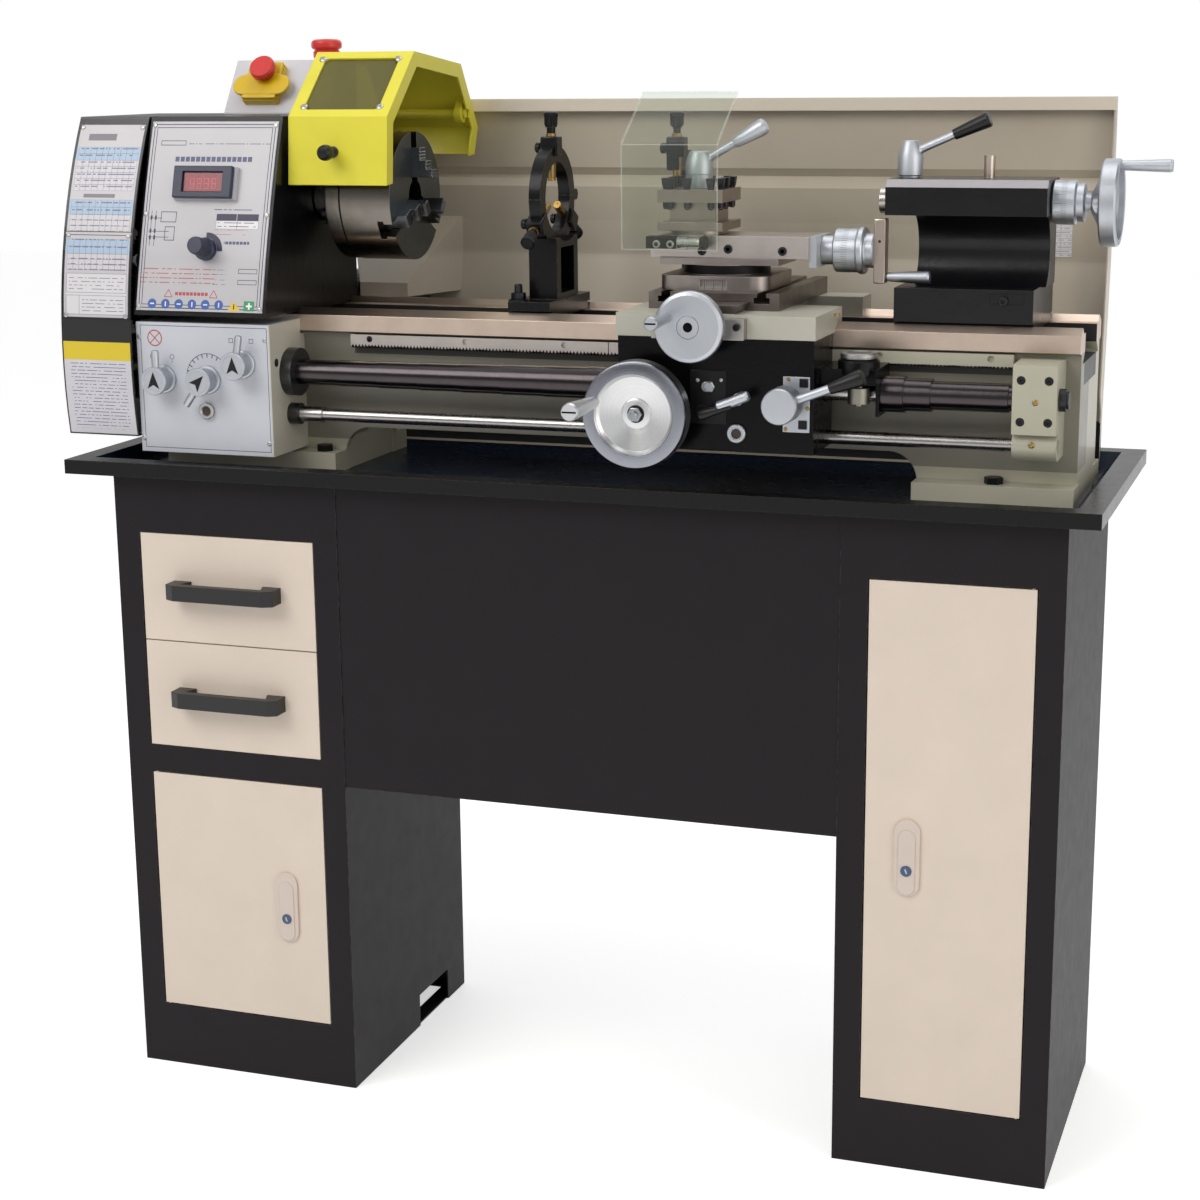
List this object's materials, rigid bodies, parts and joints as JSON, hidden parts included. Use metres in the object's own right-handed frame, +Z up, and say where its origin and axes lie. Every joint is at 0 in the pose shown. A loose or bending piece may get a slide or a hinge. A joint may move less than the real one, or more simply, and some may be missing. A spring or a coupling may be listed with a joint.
{
  "type": "engine lathe",
  "caption": "Small engine lathe on a two-cabinet stand: geared headstock with chuck and guard, carriage with compound slide, tailstock, steady rest, chip tray and splash guard.",
  "frame": {"origin": "on the floor, midway along the lathe's length and depth", "axes": "+X along the bed towards the tailstock, -Y towards the operator, +Z up"},
  "size_m": [1.346, 0.56, 1.338],
  "materials": {
    "stand_paint": "fine texture, satin",
    "cream_paint": "fine texture, satin",
    "tray_paint": "gloss",
    "machine_grey": "semi-gloss",
    "machine_black": "gloss",
    "panel_grey": "satin",
    "gearbox_grey": "satin",
    "guard_yellow": "gloss",
    "window_tint": "clear, tinted",
    "clear_sheet": "clear",
    "red_plastic": "gloss",
    "yellow_plastic": "gloss",
    "black_plastic": "satin",
    "ground_steel": "ground",
    "turned_steel": "turned",
    "dark_steel": "dull",
    "cast_wheel": "polished casting",
    "motor_paint": "satin",
    "belt_rubber": "matt",
    "screw_cover": "satin",
    "latch_metal": "satin"
  },
  "bodies": {
    "base": {"left_cabinet": "stand_paint", "right_cabinet": "stand_paint", "front_panel": "stand_paint", "drip_tray": "tray_paint", "splash_guard": "machine_grey", "bed": "machine_grey", "gear_rack": "ground_steel", "headstock": "machine_black", "control_panel": "panel_grey", "feed_gearbox": "gearbox_grey", "gear_cover": "machine_black", "switch_box": "panel_grey", "shaft_bracket": "machine_grey", "motor": "motor_paint", "drive_belt": "belt_rubber", "leadscrew_cover_left": "screw_cover", "leadscrew_cover_right": "screw_cover"},
    "motor_pulley": {"motor_pulley": "turned_steel"},
    "spindle": {"spindle": "turned_steel", "chuck_body": "turned_steel"},
    "jaw_1": {"chuck_jaw_1": "dark_steel"},
    "jaw_2": {"chuck_jaw_2": "dark_steel"},
    "jaw_3": {"chuck_jaw_3": "dark_steel"},
    "guard": {"chuck_guard": "guard_yellow", "guard_window": "window_tint"},
    "emergency_button": {"emergency_button": "red_plastic"},
    "switch_flap": {"switch_flap": "yellow_plastic"},
    "speed_knob": {"speed_knob": "black_plastic"},
    "selector_1": {"feed_selector_1": "cast_wheel"},
    "selector_2": {"feed_selector_2": "cast_wheel"},
    "selector_3": {"feed_selector_3": "cast_wheel"},
    "idler": {"idler_gear": "turned_steel"},
    "leadscrew": {"leadscrew": "turned_steel"},
    "feed_rod": {"feed_rod": "turned_steel"},
    "carriage": {"saddle": "machine_grey", "apron": "machine_black"},
    "apron_handwheel": {"apron_handwheel": "cast_wheel"},
    "feed_lever": {"feed_lever": "cast_wheel"},
    "half_nut_lever": {"half_nut_lever": "cast_wheel"},
    "thread_dial": {"thread_dial": "ground_steel"},
    "cross_slide": {"cross_slide": "ground_steel"},
    "cross_handwheel": {"cross_handwheel": "cast_wheel"},
    "swivel": {"compound_base": "ground_steel"},
    "top_slide": {"top_slide": "ground_steel"},
    "compound_crank": {"compound_crank": "cast_wheel"},
    "turret": {"tool_turret": "ground_steel"},
    "turret_lever": {"turret_lever": "cast_wheel"},
    "tool_shield": {"tool_shield": "clear_sheet"},
    "tailstock": {"tailstock": "machine_black"},
    "quill": {"quill": "turned_steel"},
    "tailstock_handwheel": {"tailstock_handwheel": "cast_wheel"},
    "quill_lever": {"quill_lever": "cast_wheel"},
    "steady_rest": {"steady_rest": "machine_black"},
    "steady_top": {"steady_top": "machine_black"},
    "upper_drawer": {"upper_drawer": "cream_paint"},
    "lower_drawer": {"lower_drawer": "cream_paint"},
    "left_door": {"left_door": "cream_paint"},
    "right_door": {"right_door": "cream_paint"},
    "left_latch": {"left_latch": "latch_metal"},
    "right_latch": {"right_latch": "latch_metal"}
  },
  "joints": [
    {"name": "spindle_spin", "type": "hinge", "parent": "base", "child": "spindle", "pos_m": [-0.45, 0.046, 1.142], "axis": [1, 0, 0], "continuous": true},
    {"name": "motor_spin", "type": "hinge", "parent": "base", "child": "motor_pulley", "pos_m": [-0.626, 0.19, 0.985], "axis": [1, 0, 0], "continuous": true},
    {"name": "idler_spin", "type": "hinge", "parent": "base", "child": "idler", "pos_m": [-0.597, 0.00086, 1.02651], "axis": [1, 0, 0], "continuous": true},
    {"name": "leadscrew_spin", "type": "hinge", "parent": "base", "child": "leadscrew", "pos_m": [0, -0.077, 0.93], "axis": [1, 0, 0], "continuous": true},
    {"name": "feed_rod_spin", "type": "hinge", "parent": "base", "child": "feed_rod", "pos_m": [0, -0.077, 0.877], "axis": [1, 0, 0], "continuous": true},
    {"name": "jaw_1_slide", "type": "slide", "parent": "spindle", "child": "jaw_1", "axis": [0, 0, 1], "range_m": [-0.012, 0.02]},
    {"name": "jaw_2_slide", "type": "slide", "parent": "spindle", "child": "jaw_2", "axis": [0, -0.866, -0.5], "range_m": [-0.012, 0.02]},
    {"name": "jaw_3_slide", "type": "slide", "parent": "spindle", "child": "jaw_3", "axis": [0, 0.866, -0.5], "range_m": [-0.012, 0.02]},
    {"name": "guard_lift", "type": "hinge", "parent": "base", "child": "guard", "pos_m": [-0.315, 0.2, 1.24], "axis": [1, 0, 0], "range_deg": [-70, 0]},
    {"name": "emergency_press", "type": "slide", "parent": "base", "child": "emergency_button", "axis": [0, 0, -1], "range_m": [0, 0.004], "stiffness_N_per_m": 1200, "springref_m": -0.001},
    {"name": "flap_lift", "type": "hinge", "parent": "base", "child": "switch_flap", "pos_m": [-0.478, 0.08627, 1.30629], "axis": [-1, 0, 0], "range_deg": [0, 110]},
    {"name": "speed_turn", "type": "hinge", "parent": "base", "child": "speed_knob", "pos_m": [-0.47, -0.115, 1.083], "axis": [0, -0.9659, 0.2588], "range_deg": [0, 300]},
    {"name": "selector_1_turn", "type": "hinge", "parent": "base", "child": "selector_1", "pos_m": [-0.531, -0.14, 0.922], "axis": [0, 1, 0], "range_deg": [-45, 45]},
    {"name": "selector_2_turn", "type": "hinge", "parent": "base", "child": "selector_2", "pos_m": [-0.469, -0.14, 0.923], "axis": [0, 1, 0], "range_deg": [-45, 45]},
    {"name": "selector_3_turn", "type": "hinge", "parent": "base", "child": "selector_3", "pos_m": [-0.42, -0.14, 0.944], "axis": [0, 1, 0], "range_deg": [-45, 45]},
    {"name": "carriage_slide", "type": "slide", "parent": "base", "child": "carriage", "axis": [1, 0, 0], "range_m": [-0.09, 0.06], "deforming": ["leadscrew_cover_left", "leadscrew_cover_right"]},
    {"name": "apron_wheel_turn", "type": "hinge", "parent": "carriage", "child": "apron_handwheel", "pos_m": [0.111, -0.18, 0.911], "axis": [0, 1, 0], "range_deg": [-1950, 1300]},
    {"name": "thread_dial_turn", "type": "hinge", "parent": "carriage", "child": "thread_dial", "pos_m": [0.352, -0.1, 0.95], "axis": [0, 0, 1], "range_deg": [-700, 470]},
    {"name": "feed_lever_turn", "type": "hinge", "parent": "carriage", "child": "feed_lever", "pos_m": [0.224, -0.15, 0.928], "axis": [0, 1, 0], "range_deg": [-30, 30]},
    {"name": "half_nut_turn", "type": "hinge", "parent": "carriage", "child": "half_nut_lever", "pos_m": [0.279, -0.15, 0.925], "axis": [0, 1, 0], "range_deg": [-45, 10]},
    {"name": "cross_wheel_turn", "type": "hinge", "parent": "carriage", "child": "cross_handwheel", "pos_m": [0.175, -0.17, 1.0125], "axis": [0, 1, 0], "range_deg": [-8641, 865]},
    {"name": "cross_feed", "type": "slide", "parent": "carriage", "child": "cross_slide", "axis": [0, 1, 0], "range_m": [-0.06, 0.003]},
    {"name": "swivel_turn", "type": "hinge", "parent": "cross_slide", "child": "swivel", "pos_m": [0.167, 0, 1.05], "axis": [0, 0, 1], "range_deg": [-60, 0.5]},
    {"name": "crank_turn", "type": "hinge", "parent": "top_slide", "child": "compound_crank", "pos_m": [0.3, 0, 1.0865], "axis": [-1, 0, 0], "range_deg": [-7201, 5401]},
    {"name": "top_slide_feed", "type": "slide", "parent": "swivel", "child": "top_slide", "axis": [1, 0, 0], "range_m": [-0.03, 0.04]},
    {"name": "turret_turn", "type": "hinge", "parent": "top_slide", "child": "turret", "pos_m": [0.132, 0, 1.13], "axis": [0, 0, 1], "continuous": true},
    {"name": "turret_lever_turn", "type": "hinge", "parent": "top_slide", "child": "turret_lever", "pos_m": [0.132, 0, 1.17], "axis": [0, 0, 1], "range_deg": [0, 100]},
    {"name": "shield_swing", "type": "hinge", "parent": "top_slide", "child": "tool_shield", "pos_m": [0.128, -0.052, 1.0965], "axis": [1, 0, 0], "range_deg": [0, 95]},
    {"name": "tailstock_slide", "type": "slide", "parent": "base", "child": "tailstock", "axis": [1, 0, 0], "range_m": [-0.06, 0.05]},
    {"name": "tail_wheel_turn", "type": "hinge", "parent": "tailstock", "child": "tailstock_handwheel", "pos_m": [0.6, 0.046, 1.142], "axis": [-1, 0, 0], "range_deg": [-1080, 5400]},
    {"name": "quill_feed", "type": "slide", "parent": "tailstock", "child": "quill", "axis": [-1, 0, 0], "range_m": [-0.0121, 0.0601]},
    {"name": "quill_lever_turn", "type": "hinge", "parent": "tailstock", "child": "quill_lever", "pos_m": [0.378, 0.04, 1.19], "axis": [0, 0, 1], "range_deg": [-60, 60]},
    {"name": "steady_slide", "type": "slide", "parent": "base", "child": "steady_rest", "axis": [1, 0, 0], "range_m": [-0.12, 0.09]},
    {"name": "steady_open", "type": "hinge", "parent": "steady_rest", "child": "steady_top", "pos_m": [-0.0725, 0.114, 1.142], "axis": [-1, 0, 0], "range_deg": [0, 100]},
    {"name": "upper_drawer_slide", "type": "slide", "parent": "base", "child": "upper_drawer", "axis": [0, -1, 0], "range_m": [0, 0.26]},
    {"name": "lower_drawer_slide", "type": "slide", "parent": "base", "child": "lower_drawer", "axis": [0, -1, 0], "range_m": [0, 0.26]},
    {"name": "left_door_swing", "type": "hinge", "parent": "base", "child": "left_door", "pos_m": [-0.563, -0.142, 0.246], "axis": [0, 0, -1], "range_deg": [0, 110]},
    {"name": "right_door_swing", "type": "hinge", "parent": "base", "child": "right_door", "pos_m": [0.565, -0.142, 0.4], "axis": [0, 0, 1], "range_deg": [0, 110]},
    {"name": "left_latch_turn", "type": "hinge", "parent": "left_door", "child": "left_latch", "pos_m": [-0.383, -0.14, 0.2095], "axis": [0, -1, 0], "range_deg": [0, 90]},
    {"name": "right_latch_turn", "type": "hinge", "parent": "right_door", "child": "right_latch", "pos_m": [0.426, -0.14, 0.3635], "axis": [0, 1, 0], "range_deg": [0, 90]}
  ],
  "couplings": [
    {"joint": "motor_spin", "follows": "spindle_spin", "ratio": 2.2917},
    {"joint": "idler_spin", "follows": "spindle_spin", "ratio": -0.47619},
    {"joint": "leadscrew_spin", "follows": "spindle_spin", "ratio": 1},
    {"joint": "feed_rod_spin", "follows": "spindle_spin", "ratio": 0.5},
    {"joint": "jaw_2_slide", "follows": "jaw_1_slide", "ratio": 1},
    {"joint": "jaw_3_slide", "follows": "jaw_1_slide", "ratio": 1},
    {"joint": "apron_wheel_turn", "follows": "carriage_slide", "rad_per_m": 369.6},
    {"joint": "thread_dial_turn", "follows": "carriage_slide", "rad_per_m": 130.9},
    {"joint": "cross_wheel_turn", "follows": "cross_feed", "rad_per_m": 2513.3},
    {"joint": "crank_turn", "follows": "top_slide_feed", "rad_per_m": -3141.6},
    {"joint": "quill_feed", "follows": "tail_wheel_turn", "m_per_rad": 0.00063662}
  ]
}
